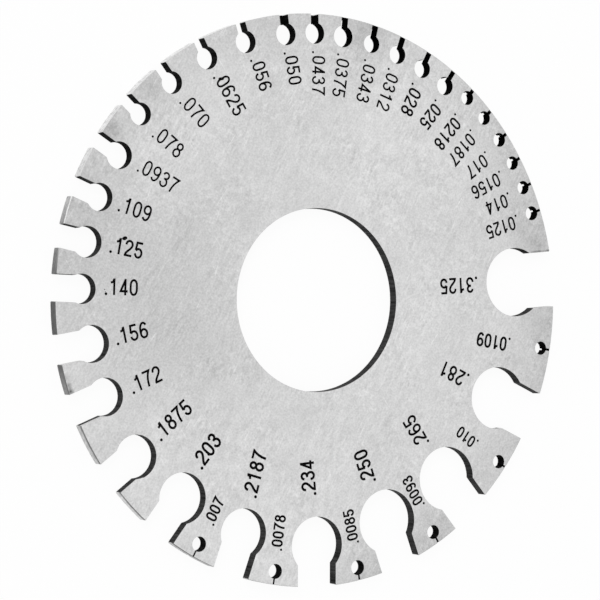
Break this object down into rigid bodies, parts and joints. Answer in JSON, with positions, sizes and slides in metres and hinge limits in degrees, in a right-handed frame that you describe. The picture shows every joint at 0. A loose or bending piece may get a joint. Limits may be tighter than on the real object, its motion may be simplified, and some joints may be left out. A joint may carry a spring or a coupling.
{
  "type": "sheet metal gauge",
  "caption": "Round steel plate with a centre hole and a graded ring of relief-ended slots in its rim, one as wide as each gauge number of sheet is thick.",
  "frame": {"origin": "on the centre hole's axis at the plate's back face, which is the face it rests on", "axes": "+Z out of the numbered face, +X through the middle of the widest slot, No. 0; the numbers run clockwise seen from +Z"},
  "size_m": [0.0792, 0.0794, 0.0016],
  "materials": {
    "ground_steel": "ground, satin, with fine random scratches"
  },
  "bodies": {
    "root": {"gauge_plate": "ground_steel"}
  },
  "joints": []
}
